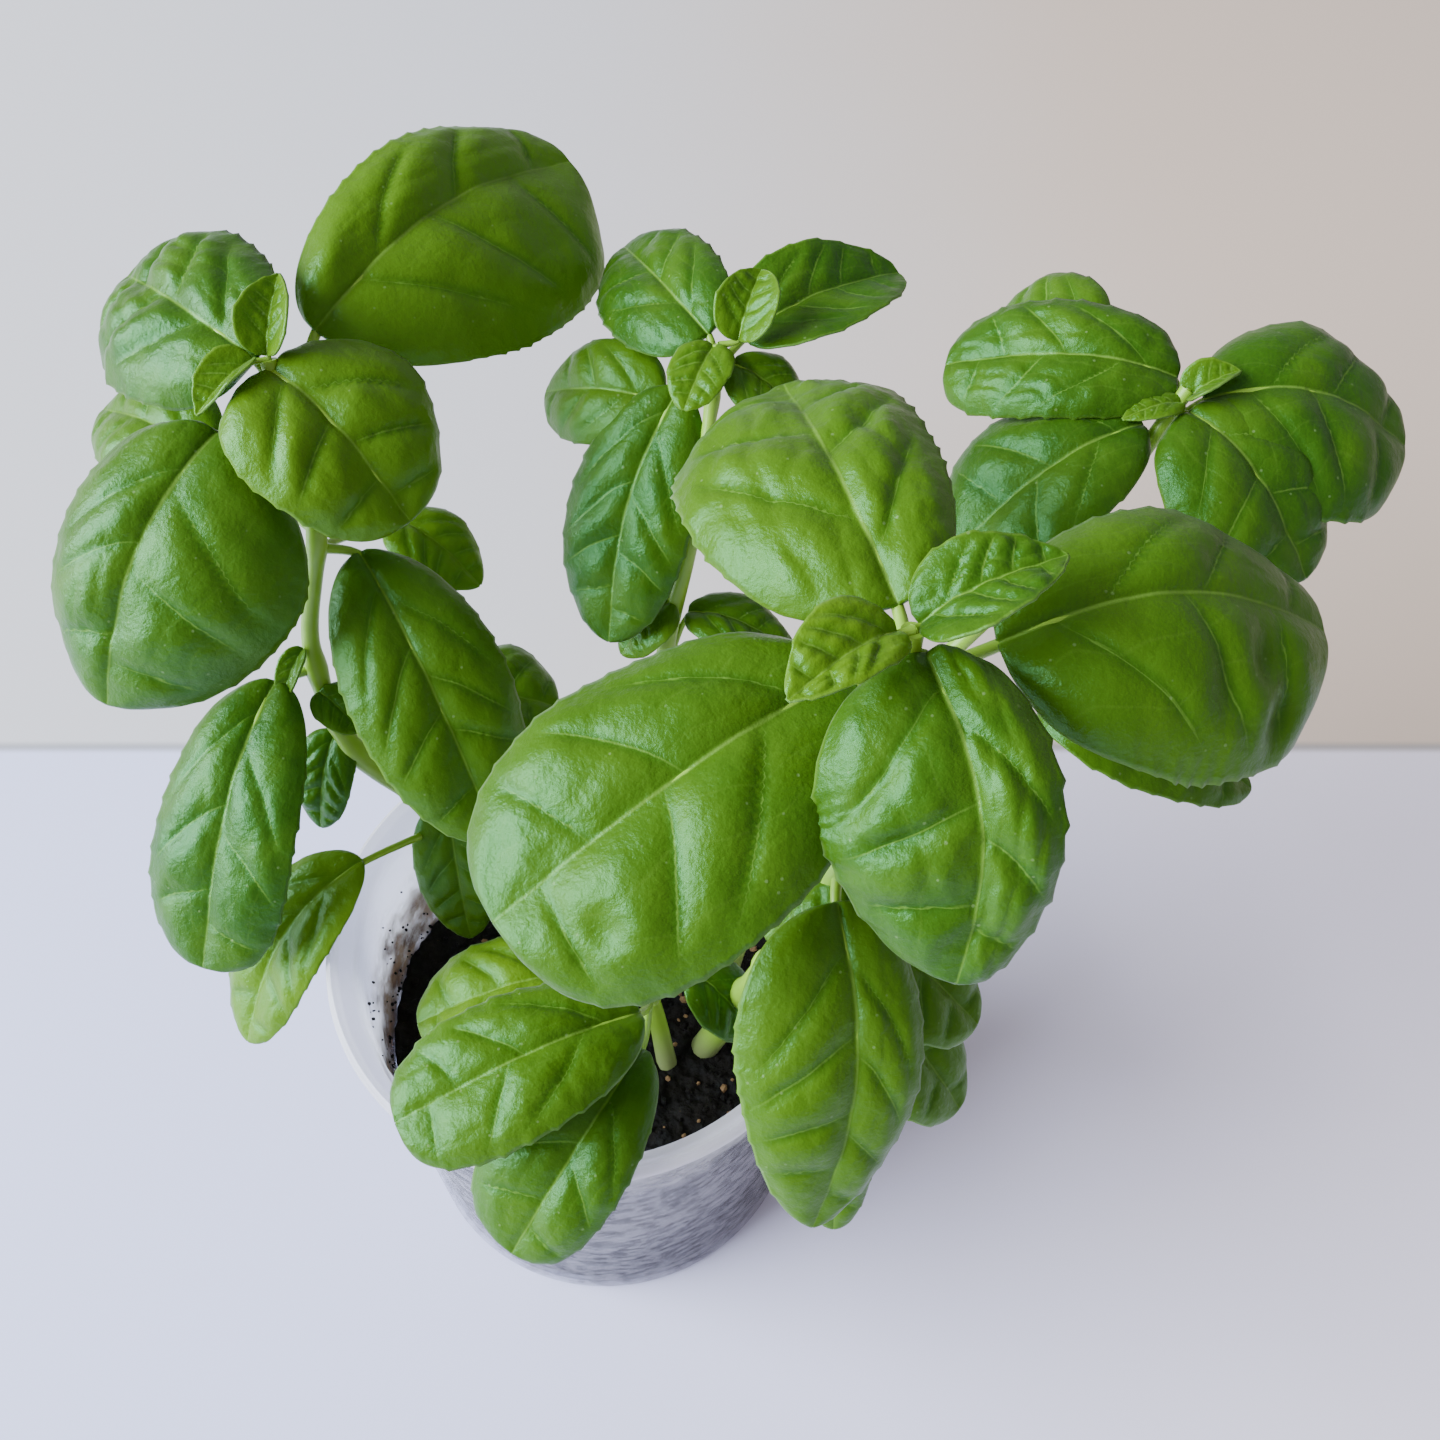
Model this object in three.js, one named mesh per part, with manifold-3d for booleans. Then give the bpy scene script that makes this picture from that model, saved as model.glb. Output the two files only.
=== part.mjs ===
// A basil plant growing in a clear plastic tub of potting soil.
// Millimetres, +Z up. The origin is the centre of the tub's flat base, which stands on the table.
// The plant faces -Y: its tallest stem leans that way and to +X.

import * as THREE from "three";
import { mergeVertices } from "three/addons/utils/BufferGeometryUtils.js";
import Module from "manifold-3d";

// ---- Driving dimensions ----

const TUB_HEIGHT = 80;
const TUB_BASE_RADIUS = 40;
const TUB_RIM_RADIUS = 47.5;
const TUB_MOUTH_RADIUS = 42.5;
const TUB_WALL = 0.8;
const TUB_FLOOR = 1;
const TUB_SIDES = 40;
const RIM_HEIGHT = 3;
const RIM_ROUNDING = 0.6;

const SOIL_LEVEL = 45;
const SOIL_GAP = 0.5;
const SOIL_CRUMB = 1.1;
const SOIL_SHOULDER = 4;
const SOIL_RING_RADII = [40, 34, 26, 17, 8, 2];
const SOIL_SIDES = 32;

const ROOT_DEPTH = 20;
const ROOT_TAPER = 0.8;
const ROOT_OVERLAP = 0.6;
const HOLE_GAP = 0.9;

const STEM_SIDES = 6;
const STEM_STEPS = 12;
const PETIOLE_SIDES = 5;
const PETIOLE_STEPS = 3;
const PETIOLE_RADIUS = 0.45;
const PETIOLE_RADIUS_PER_WIDTH = 0.018;
const PETIOLE_TAPER = 0.7;
const PETIOLE_SINK = 0.9;

const BLADE_THICKNESS = 0.8;
const BLADE_GUTTER = 0.3;
const BLADE_TOOTH = 0.03;
const BLADE_WAVE = 0.02;
const BLADE_TIP = 0.5;
const SMALL_BLADE = 24;
const SMALL_BLADE_GRID = { rows: 5, columns: 4 };
const LARGE_BLADE_GRID = { rows: 6, columns: 6 };

// How a blade's half width grows from its base and shrinks to its tip: t ** rise * (1 - t) ** fall.
const OUTLINES = {
  round: { rise: 0.33, fall: 0.42 },
  broad: { rise: 0.23, fall: 0.38 },
  disc: { rise: 0.32, fall: 0.28 },
  blunt: { rise: 0.42, fall: 0.3 },
  egg: { rise: 0.38, fall: 0.58 },
  oval: { rise: 0.5, fall: 0.5 },
  spear: { rise: 0.45, fall: 0.8 },
};

// Each stem: its path from the soil's surface to its growing tip, its radius at both ends, and its
// leaves. A leaf: how far up the stem it grows (0 to 1), where its blade starts, where it ends, its
// width, how far its midrib arches up, its roll in degrees (right side up, seen from the base), how far
// its midrib bows to the right, how much wider its right half is, how much its edges turn down, and
// its outline.
const STEMS = {
  stem_left: {
    path: [[-4, 10, 47], [-12, 17, 60], [-27, 23, 82], [-42, 25, 99], [-48, 34, 117],
      [-44, 43, 140], [-48, 54, 165]],
    radius: [2.5, 1.1],
    leaves: [
      [0.97, [-50, 54, 165], [-79, 83, 160], 33, 5, 25, 0, -0.04, 0.5, "disc"],
      [0.97, [-48, 53, 164], [-26, 36, 147], 34, 5, -5, 0, -0.05, 0.45, "broad"],
      [1.0, [-48, 54, 166], [-46, 64, 174], 9, 1, 0, 0, 0, -0.5, "spear"],
      [1.0, [-50, 53, 166], [-58, 44, 162], 8, 1, 0, 0, 0, -0.4, "spear"],
      [0.9, [-56, 45, 158], [-76, 14, 127], 40, 7, 20, 2, -0.26, 0.6, "round"],
      [0.9, [-44, 68, 160], [-5, 122, 158], 43, 6, -32, -4, 0.3, 0.45, "blunt"],
      [0.8, [-67, 63, 137], [-92, 81, 132], 22, 4, 20, 0, 0, 0.4, "round"],
      [0.62, [-54, 29, 115], [-67, -10, 83], 27, 6, 0, 0, 0, 0.4, "blunt"],
      [0.78, [-38, 43, 133], [-15, 7, 98], 28, 6, 0, 0, 0, 0.45, "oval"],
      [0.62, [-49, 33, 119], [-53, 26, 112], 5, 1, 0, 0, 0, -0.2, "spear"],
      [0.55, [-47, 29, 112], [-40, 24, 107], 9, 1, 0, 0, 0, 0.2, "egg"],
      [0.5, [-46, 28, 102], [-50, 17, 87], 12, 2, 0, 0, 0, 0.3, "egg"],
      [0.78, [-36, 60, 124], [-20, 50, 117], 15, 3, 0, 0, 0, 0.4, "egg"],
      [0.5, [-26, 35, 103], [-6, 33, 102], 25, 3, 0, 0, 0, 0.4, "round"],
      [0.33, [-41, 9, 88], [-63, -15, 64], 20, 4, 0, 3, 0, 0.3, "oval"],
      [0.4, [-27, 22, 88], [-25, 9, 60], 16, 3, 0, 0, 0, 0.4, "egg"],
    ],
  },
  stem_front: {
    path: [[20, -6, 47], [28, -12, 75], [35, -18, 108], [42, -19, 132], [47, -15, 158], [48, -14, 177]],
    radius: [2.8, 1.2],
    leaves: [
      [0.97, [47, -7, 174], [34, 45, 167], 37, 8, 10, -1, -0.17, 0.5, "disc"],
      [0.93, [41, -10, 163], [-5, -40, 150], 42, 6, 12, 0, -0.07, 0.45, "blunt"],
      [0.97, [50, -15, 174], [54, -47, 147], 31, 7, -14, -5, 0.35, 0.45, "round"],
      [0.93, [60, -10, 170], [108, 0, 161], 38, 8, -20, -3, 0.25, 0.6, "disc"],
      [1.0, [49, -13, 177], [67, -8, 184], 15, 2, 0, 0, 0.1, -0.1, "spear"],
      [1.0, [46, -15, 178], [32, -27, 179], 12, 2, 5, 0, 0.2, 0.1, "spear"],
      [0.6, [42, -18, 128], [31, -24, 118], 17, 2, 0, 0, 0, 0.4, "egg"],
      [0.66, [41, -25, 130], [38, -59, 92], 28, 5, 14, -3.5, 0.27, 0.4, "egg"],
      [0.4, [43, -24, 98], [43, -51, 68], 14, 4, 0, 0, 0, 0.4, "round"],
      [0.5, [46, -19, 110], [65, -29, 99], 21, 3, 0, 0, 0, 0.4, "round"],
      [0.4, [46, -22, 98], [64, -35, 80], 21, 3, 0, 0, 0, 0.4, "round"],
      [0.28, [19, -10, 82], [30, -17, 70], 13, 2, 0, 0, 0, 0.35, "egg"],
    ],
  },
  stem_back: {
    path: [[8, 14, 47], [11, 32, 80], [14, 45, 106], [19, 52, 128], [24, 68, 157]],
    radius: [2.6, 1.0],
    leaves: [
      [0.97, [22, 71, 157], [6, 105, 151], 23, 4, 28, 0, -0.08, 0.4, "round"],
      [0.97, [28, 73, 155], [56, 90, 156], 21, 3, -10, 0, 0.1, -0.1, "egg"],
      [1.0, [27, 68, 158], [31, 78, 165], 11, 1, 0, 0, 0.1, -0.3, "egg"],
      [1.0, [23, 68, 157], [18, 56, 153], 11, 1, 0, 0, 0, 0.2, "egg"],
      [0.93, [26, 67, 154], [38, 60, 147], 15, 2, 0, 0, 0, 0.4, "egg"],
      [0.85, [17, 68, 148], [4, 39, 114], 24, 4, 0, 2, 0, 0.45, "oval"],
      [0.85, [14, 68, 145], [-8, 80, 137], 20, 4, 35, 0, 0, 0.4, "round"],
      [0.5, [15, 48, 115], [6, 41, 108], 12, 2, 0, 0, 0, 0.4, "egg"],
      [0.5, [18, 48, 112], [38, 42, 107], 14, 3, 0, 0, 0, 0.4, "egg"],
    ],
  },
  stem_right: {
    path: [[24, 8, 47], [30, 13, 66], [38, 19, 87], [60, 31, 113], [86, 44, 139], [100, 54, 159]],
    radius: [2.5, 1.0],
    leaves: [
      [0.9, [88, 68, 158], [74, 85, 150], 20, 4, 30, 0, 0, 0.4, "round"],
      [0.97, [99, 57, 159], [63, 69, 152], 22, 6, 25, 0, 0, 0.4, "disc"],
      [0.93, [103, 54, 157], [139, 53, 148], 36, 6, -17, -2, 0.15, 0.5, "disc"],
      [0.97, [100, 51, 157], [118, 28, 142], 30, 5, -5, 0, 0, 0.5, "round"],
      [0.93, [93, 50, 155], [64, 39, 138], 28, 5, 5, 0, 0.1, 0.45, "blunt"],
      [1.0, [100, 53, 158], [108, 55, 162], 7, 1, 0, 0, 0, -0.4, "spear"],
      [1.0, [99, 52, 158], [89, 49, 157], 6, 1, 0, 0, 0, 0.3, "spear"],
      [0.5, [82, 34, 106], [122, 22, 92], 28, 5, 0, 0, 0, 0.4, "egg"],
    ],
  },
  shoot_low: {
    path: [[14, -11, 47], [12, -8, 60], [11, -10, 76]],
    radius: [2.1, 1.2],
    leaves: [
      [0.9, [11, -26, 97], [-27, -43, 93], 24, 5, 10, 0, -0.05, 0.4, "blunt"],
      [0.9, [11, -27, 86], [-10, -56, 71], 24, 8, 15, 0, 0.15, 0.4, "blunt"],
      [0.8, [-3, -7, 75], [-31, -14, 69], 22, 3, 0, 0, 0, 0.35, "round"],
    ],
  },
};

const GREEN = {
  stem_left: 0x4f8a2c,
  stem_front: 0x578f30,
  stem_back: 0x46802b,
  stem_right: 0x4a842c,
  shoot_low: 0x7dae4a,
};

// ---- Solids: union and difference of closed meshes ----

const solids = await Module();
solids.setup();

function solidOf(geometry) {
  const bare = geometry.clone();
  bare.deleteAttribute("normal");
  bare.deleteAttribute("uv");
  const merged = mergeVertices(bare, 1e-4);
  return new solids.Manifold(new solids.Mesh({
    numProp: 3,
    vertProperties: merged.attributes.position.array,
    triVerts: new Uint32Array(merged.index.array),
  }));
}

function geometryOf(solid) {
  const mesh = solid.getMesh();
  const geometry = new THREE.BufferGeometry();
  geometry.setAttribute("position", new THREE.Float32BufferAttribute(mesh.vertProperties, 3));
  geometry.setIndex([...mesh.triVerts]);
  return geometry;
}

// ---- Closed skins over rings of points ----

function countTo(count) {
  return Array.from({ length: count }, (_, index) => index);
}

// Joins rings of equal length into a tube with both ends capped by fans.
function skin(rings) {
  const sides = rings[0].length;
  const points = rings.flat();
  const faces = [];
  for (let ring = 0; ring < rings.length - 1; ring += 1) {
    for (let side = 0; side < sides; side += 1) {
      const a = ring * sides + side;
      const b = ring * sides + (side + 1) % sides;
      faces.push(a, b, b + sides, a, b + sides, a + sides);
    }
  }
  const last = (rings.length - 1) * sides;
  for (let side = 1; side < sides - 1; side += 1) {
    faces.push(0, side + 1, side);
    faces.push(last, last + side, last + side + 1);
  }
  const geometry = new THREE.BufferGeometry();
  geometry.setAttribute("position", new THREE.Float32BufferAttribute(points.flatMap((p) => p.toArray()), 3));
  geometry.setIndex(faces);
  return geometry;
}

// A round bar along a curve, tapering from its first radius to its second.
function taperedBar(curve, radii, sides, steps) {
  const frames = curve.computeFrenetFrames(steps, false);
  const rings = [];
  for (let step = 0; step <= steps; step += 1) {
    const centre = curve.getPointAt(step / steps);
    const radius = THREE.MathUtils.lerp(radii[0], radii[1], step / steps);
    const ring = [];
    for (let side = 0; side < sides; side += 1) {
      const angle = (side / sides) * 2 * Math.PI;
      ring.push(centre.clone()
        .addScaledVector(frames.normals[step], radius * Math.cos(angle))
        .addScaledVector(frames.binormals[step], radius * Math.sin(angle)));
    }
    rings.push(ring);
  }
  return skin(rings);
}

// ---- Leaf blade ----

// The blade's middle surface at t from base to tip and q from its left edge (-1) to its right (1).
function bladeSurface([, base, tip, width, arch, roll, bow, lop, camber, outline]) {
  const start = new THREE.Vector3(...base);
  const chord = new THREE.Vector3(...tip).sub(start);
  const length = chord.length();
  const along = chord.normalize();
  const level = new THREE.Vector3().crossVectors(along, new THREE.Vector3(0, 0, 1)).normalize();
  const right = level.applyAxisAngle(along, -THREE.MathUtils.degToRad(roll));
  const up = new THREE.Vector3().crossVectors(right, along);
  const { rise, fall } = OUTLINES[outline];
  const widest = rise / (rise + fall);
  const fullest = widest ** rise * (1 - widest) ** fall;

  const midrib = (t) => start.clone()
    .addScaledVector(along, length * t)
    .addScaledVector(up, arch * Math.sin(Math.PI * t ** 0.8))
    .addScaledVector(right, bow * Math.sin(Math.PI * t));

  return (t, q) => {
    const ahead = midrib(Math.min(t + 0.01, 1)).sub(midrib(Math.max(t - 0.01, 0))).normalize();
    const normal = new THREE.Vector3().crossVectors(right, ahead).normalize();
    const across = new THREE.Vector3().crossVectors(ahead, normal);
    const half = Math.max((width / 2) * (t ** rise * (1 - t) ** fall) / fullest, BLADE_TIP);
    const reach = half * (q > 0 ? 1 + lop : 1 - lop);
    const wave = BLADE_WAVE * width * q * q * Math.sin(3 * Math.PI * t + (q > 0 ? 1 : 3));
    const lift = reach * (BLADE_GUTTER * Math.abs(q) - camber * q * q) + wave * (half / (width / 2));
    return midrib(t).addScaledVector(across, reach * q).addScaledVector(normal, lift);
  };
}

function gridOf(leaf) {
  return leaf[3] <= SMALL_BLADE ? SMALL_BLADE_GRID : LARGE_BLADE_GRID;
}

// Rows of the grid lie closer together near a blade's ends, where its outline turns.
function rowPlace(row, rows) {
  return 0.5 * (row / rows) + 0.25 * (1 - Math.cos((Math.PI * row) / rows));
}

// A closed blade of two faces, which are split into triangles alike, and the edge between them.
function bladeGeometry(leaf) {
  const { rows, columns } = gridOf(leaf);
  const surface = bladeSurface(leaf);
  const grid = [];
  for (let row = 0; row <= rows; row += 1) {
    const t = rowPlace(row, rows);
    const toothed = row > 1 && row < rows ? 1 + BLADE_TOOTH * (row % 2 ? 1 : -1) : 1;
    const line = [];
    for (let column = 0; column <= columns; column += 1) {
      const q = -1 + (2 * column) / columns;
      line.push(surface(t, Math.abs(q) === 1 ? q * toothed : q));
    }
    grid.push(line);
  }
  const faceNormal = (row, column) => {
    const lengthwise = grid[Math.min(row + 1, rows)][column].clone()
      .sub(grid[Math.max(row - 1, 0)][column]);
    const crosswise = grid[row][Math.min(column + 1, columns)].clone()
      .sub(grid[row][Math.max(column - 1, 0)]);
    return crosswise.cross(lengthwise).normalize();
  };
  const points = [];
  for (const side of [1, -1]) {
    for (let row = 0; row <= rows; row += 1) {
      for (let column = 0; column <= columns; column += 1) {
        const offset = faceNormal(row, column).multiplyScalar(side * BLADE_THICKNESS / 2);
        points.push(grid[row][column].clone().add(offset));
      }
    }
  }
  const under = (rows + 1) * (columns + 1);
  const at = (row, column) => row * (columns + 1) + column;
  const faces = [];
  for (let row = 0; row < rows; row += 1) {
    for (let column = 0; column < columns; column += 1) {
      const [a, b] = [at(row, column), at(row, column + 1)];
      const [c, d] = [at(row + 1, column + 1), at(row + 1, column)];
      faces.push(a, b, c, a, c, d);
      faces.push(under + a, under + c, under + b, under + a, under + d, under + c);
    }
  }
  const edge = [
    ...countTo(columns).map((column) => at(0, column)),
    ...countTo(rows).map((row) => at(row, columns)),
    ...countTo(columns).map((column) => at(rows, columns - column)),
    ...countTo(rows).map((row) => at(rows - row, 0)),
  ];
  edge.forEach((a, index) => {
    const b = edge[(index + 1) % edge.length];
    faces.push(a, under + a, under + b, a, under + b, b);
  });
  const geometry = new THREE.BufferGeometry();
  geometry.setAttribute("position", new THREE.Float32BufferAttribute(points.flatMap((p) => p.toArray()), 3));
  geometry.setIndex(faces);
  return geometry;
}

// The leaf's stalk: out of the stem, then into the blade along its midrib.
function petioleGeometry(leaf, stemCurve) {
  const surface = bladeSurface(leaf);
  const root = stemCurve.getPointAt(leaf[0]);
  const neck = surface(0, 0);
  const inside = neck.clone().lerp(surface(rowPlace(1, gridOf(leaf).rows), 0), PETIOLE_SINK);
  const curve = new THREE.CatmullRomCurve3([root, neck, inside], false, "centripetal");
  const radius = PETIOLE_RADIUS + PETIOLE_RADIUS_PER_WIDTH * leaf[3];
  return taperedBar(curve, [radius, PETIOLE_TAPER * radius], PETIOLE_SIDES, PETIOLE_STEPS);
}

// ---- Sub-parts ----

function stemCurveOf(stem) {
  const points = stem.path.map((point) => new THREE.Vector3(...point));
  return new THREE.CatmullRomCurve3(points, false, "centripetal");
}

// A leafy stem: its bar, its root below the soil's surface, its petioles and its blades, in one.
function leafyStemGeometry(stem) {
  const curve = stemCurveOf(stem);
  const [foot] = stem.path;
  const [thick] = stem.radius;
  const root = new THREE.CylinderGeometry(thick, ROOT_TAPER * thick, ROOT_DEPTH, STEM_SIDES);
  root.rotateX(Math.PI / 2);
  root.translate(foot[0], foot[1], foot[2] + ROOT_OVERLAP - ROOT_DEPTH / 2);
  let solid = solidOf(taperedBar(curve, stem.radius, STEM_SIDES, STEM_STEPS)).add(solidOf(root));
  for (const leaf of stem.leaves) {
    solid = solid.add(solidOf(petioleGeometry(leaf, curve))).add(solidOf(bladeGeometry(leaf)));
  }
  return geometryOf(solid);
}

// The tub's wall leans out to the mouth, where it rolls over into a rim with a rounded crest.
function tubGeometry() {
  const rimFoot = TUB_HEIGHT - RIM_HEIGHT;
  const wallOutside = TUB_MOUTH_RADIUS + TUB_WALL;
  const lipInside = TUB_RIM_RADIUS - TUB_WALL;
  const crest = (TUB_MOUTH_RADIUS + TUB_RIM_RADIUS) / 2;
  const profile = [
    [0, 0], [TUB_BASE_RADIUS - 1, 0], [TUB_BASE_RADIUS, 1],
    [wallOutside, rimFoot], [wallOutside + RIM_ROUNDING, rimFoot + 2 * RIM_ROUNDING],
    [crest, TUB_HEIGHT - TUB_WALL], [lipInside, rimFoot + 2 * RIM_ROUNDING], [lipInside, rimFoot - 1],
    [TUB_RIM_RADIUS, rimFoot - 1], [TUB_RIM_RADIUS, rimFoot + RIM_HEIGHT / 2],
    [TUB_RIM_RADIUS - RIM_ROUNDING, TUB_HEIGHT - RIM_ROUNDING], [crest, TUB_HEIGHT],
    [TUB_MOUTH_RADIUS + RIM_ROUNDING, TUB_HEIGHT - 2 * RIM_ROUNDING], [TUB_MOUTH_RADIUS, rimFoot],
    [TUB_BASE_RADIUS - TUB_WALL, TUB_FLOOR], [0, TUB_FLOOR],
  ].map(([radius, height]) => new THREE.Vector2(radius, height));
  return new THREE.LatheGeometry(profile, TUB_SIDES).rotateX(Math.PI / 2);
}

function tubInsideRadius(height) {
  const share = (height - TUB_FLOOR) / (TUB_HEIGHT - RIM_HEIGHT - TUB_FLOOR);
  return THREE.MathUtils.lerp(TUB_BASE_RADIUS - TUB_WALL, TUB_MOUTH_RADIUS, share);
}

// Soil fills the tub's foot. Its surface is crumbly, and each stem stands in a plain hole.
function soilGeometry() {
  const underside = TUB_FLOOR + SOIL_GAP;
  const crumb = (x, y) => SOIL_CRUMB * (Math.sin(0.37 * x + 1.3) * Math.cos(0.43 * y)
    + 0.6 * Math.sin(0.81 * y - 0.52 * x));
  const ringAt = (radius, heightAt) => countTo(SOIL_SIDES).map((side) => {
    const angle = (side / SOIL_SIDES) * 2 * Math.PI;
    const [x, y] = [radius * Math.cos(angle), radius * Math.sin(angle)];
    return new THREE.Vector3(x, y, heightAt(x, y));
  });
  const shoulder = SOIL_LEVEL - SOIL_SHOULDER;
  const rings = [
    ringAt(tubInsideRadius(underside) - SOIL_GAP, () => underside),
    ringAt(tubInsideRadius(shoulder) - SOIL_GAP, () => shoulder),
    ...SOIL_RING_RADII.map((radius) => ringAt(radius, (x, y) => SOIL_LEVEL + crumb(x, y))),
  ];
  let solid = solidOf(skin(rings));
  for (const { path: [foot], radius: [thick] } of Object.values(STEMS)) {
    const bottom = foot[2] + ROOT_OVERLAP - ROOT_DEPTH - SOIL_GAP;
    const height = 2 * ROOT_DEPTH;
    const hole = new THREE.CylinderGeometry(thick + HOLE_GAP, thick + HOLE_GAP, height, 2 * STEM_SIDES);
    hole.rotateX(Math.PI / 2);
    hole.translate(foot[0], foot[1], bottom + height / 2);
    solid = solid.subtract(solidOf(hole));
  }
  return geometryOf(solid);
}

function part(name, geometry, colour, roughness, extra = {}) {
  const material = new THREE.MeshStandardMaterial({ color: colour, roughness, metalness: 0, ...extra });
  const mesh = new THREE.Mesh(geometry, material);
  mesh.name = name;
  return mesh;
}

const plant = new THREE.Group();
plant.add(part("tub", tubGeometry(), 0xe6e8ee, 0.2, { transparent: true, opacity: 0.4 }));
plant.add(part("soil", soilGeometry(), 0x1d1714, 0.95));
for (const [name, stem] of Object.entries(STEMS)) {
  plant.add(part(name, leafyStemGeometry(stem), GREEN[name], 0.4));
}

export default plant;
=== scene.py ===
import math
import random
from collections import namedtuple

import bpy
import numpy as np
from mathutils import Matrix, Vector, noise


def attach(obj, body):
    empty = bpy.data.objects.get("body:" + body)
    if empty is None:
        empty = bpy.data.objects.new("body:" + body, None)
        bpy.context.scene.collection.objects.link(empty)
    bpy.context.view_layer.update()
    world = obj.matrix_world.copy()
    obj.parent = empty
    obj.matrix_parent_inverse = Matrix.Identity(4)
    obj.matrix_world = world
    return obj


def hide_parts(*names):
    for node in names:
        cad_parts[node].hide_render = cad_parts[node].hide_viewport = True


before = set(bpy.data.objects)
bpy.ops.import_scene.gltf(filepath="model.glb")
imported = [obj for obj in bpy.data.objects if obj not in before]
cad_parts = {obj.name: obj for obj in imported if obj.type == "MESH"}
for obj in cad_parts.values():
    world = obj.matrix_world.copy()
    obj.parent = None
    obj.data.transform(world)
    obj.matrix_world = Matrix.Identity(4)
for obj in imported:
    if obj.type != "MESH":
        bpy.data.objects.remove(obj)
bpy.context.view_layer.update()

# The nodes of the frame come in selected, and an operator acts on all that is selected.
bpy.ops.object.select_all(action="DESELECT")


# ---- Camera ----
# It stands close in front of the plant, above its crown, and looks down on the leaves and into the tub.

LOOKS_DOWN = 52  # degrees below the level

camera = bpy.data.objects.new("camera", bpy.data.cameras.new("camera"))
bpy.context.collection.objects.link(camera)
camera.data.sensor_width = 36
camera.data.lens = 36.9
camera.data.clip_start = 0.01
camera.location = (0.024, -0.136, 0.315)
camera.rotation_euler = (math.radians(90 - LOOKS_DOWN), 0, 0)
bpy.context.scene.camera = camera


# ---- Floor and light ----
# A plain pale board under the tub, with a warmer grey one butted against its far edge, and the soft light
# of one large window at the left. Both boards are painted warmer towards the right, and the grey one
# darker too, as painted shade away from the window, and a painted shadow line runs along their joint.
# Pale walls all round fill the shadows. Sizes here are in metres.

FLOOR_DEPTH = 0.0001
BOARD_EDGE = 0.101
JOINT_WIDTH = 0.0025
PALE_COOL = (0.71, 0.69, 1.0)
PALE_SHADED_WARM = (0.84, 0.73, 0.86)
GREY_COOL = (0.64, 0.59, 0.63)
GREY_SHADED_WARM = (0.65, 0.49, 0.41)
JOINT_SHADOW = (0.22, 0.21, 0.22)
WINDOW_PLACE = Vector((-2.0, -0.4, 1.2))
WINDOW_FACES = Vector((0, 0, 0.12))

bpy.ops.mesh.primitive_plane_add(size=8, location=(0, 0, -FLOOR_DEPTH))
floor = bpy.context.object
floor.name = "floor"


class Wire:
    """One socket in a material. Sums and products of wires add Math nodes to it."""

    def __init__(self, socket):
        self.socket = socket

    def node(self, kind, settings=None, inputs=None, output=0):
        """Adds a node, makes its settings, then fills its inputs with values or wires."""
        made = self.socket.id_data.nodes.new(kind)
        for name, value in (settings or {}).items():
            setattr(made, name, value)
        for name, value in (inputs or {}).items():
            if isinstance(value, Wire):
                self.socket.id_data.links.new(value.socket, made.inputs[name])
            else:
                made.inputs[name].default_value = value
        return Wire(made.outputs[output])

    def math(self, operation, *values):
        """A Math node on the values, which may be wires or numbers."""
        return self.node("ShaderNodeMath", {"operation": operation}, dict(enumerate(values)))

    def __add__(self, other):
        return self.math("ADD", self, other)

    def __sub__(self, other):
        return self.math("SUBTRACT", self, other)

    def __rsub__(self, other):
        return self.math("SUBTRACT", other, self)

    def __mul__(self, other):
        return self.math("MULTIPLY", self, other)

    __radd__ = __add__
    __rmul__ = __mul__

    def between(self, low, high):
        """0 where this wire is at low or beyond, 1 at high or beyond, and a smooth step between."""
        return self.node("ShaderNodeMapRange", {"interpolation_type": "SMOOTHSTEP"},
                         {"Value": self, "From Min": low, "From Max": high})

    def colours(self, start, end):
        """The mix of two colours, or of wires that carry them, by this wire."""
        sides = {6: start, 7: end}
        inputs = {key: side if isinstance(side, Wire) else (*side, 1) for key, side in sides.items()}
        return self.node("ShaderNodeMix", {"data_type": "RGBA"}, {0: self, **inputs}, output=2)


def new_material(name):
    """A material with nothing in it but its output, and the wire that its shader goes to."""
    material = bpy.data.materials.new(name)
    material.use_nodes = True
    material.node_tree.nodes.clear()
    output = material.node_tree.nodes.new("ShaderNodeOutputMaterial")
    return material, Wire(output.inputs["Surface"])


def show(surface, shader):
    """Ends a material: its surface gets the shader."""
    surface.socket.id_data.links.new(shader.socket, surface.socket)


board, surface = new_material("pale_board")
place = surface.node("ShaderNodeTexCoord", output=3)
grain = surface.node("ShaderNodeTexNoise", inputs={"Vector": place, "Scale": 6.0, "Detail": 4.0})
along = surface.node("ShaderNodeSeparateXYZ", inputs={0: place})
behind = surface.node("ShaderNodeSeparateXYZ", inputs={0: place}, output=1)
# Painted shade: both boards turn warmer towards the right, and the grey one darker too, away from the
# window.
shade_to_right = (along + 0.08 * grain).between(-0.06, 0.26)
pale = shade_to_right.colours(PALE_COOL, PALE_SHADED_WARM)
grey = shade_to_right.colours(GREY_COOL, GREY_SHADED_WARM)
tint = behind.between(BOARD_EDGE - JOINT_WIDTH, BOARD_EDGE + 0.6 * JOINT_WIDTH).colours(pale, grey)
# A painted shadow line darkens the joint where the far grey board meets the pale one.
joint = surface.math("ABSOLUTE", behind - BOARD_EDGE).between(JOINT_WIDTH, 0.0)
tint = (joint * 0.6).colours(tint, JOINT_SHADOW)
show(surface, surface.node("ShaderNodeBsdfPrincipled", inputs={
    "Base Color": tint, "Roughness": 0.45, "Specular IOR Level": 0.3}))
floor.data.materials.append(board)

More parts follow.
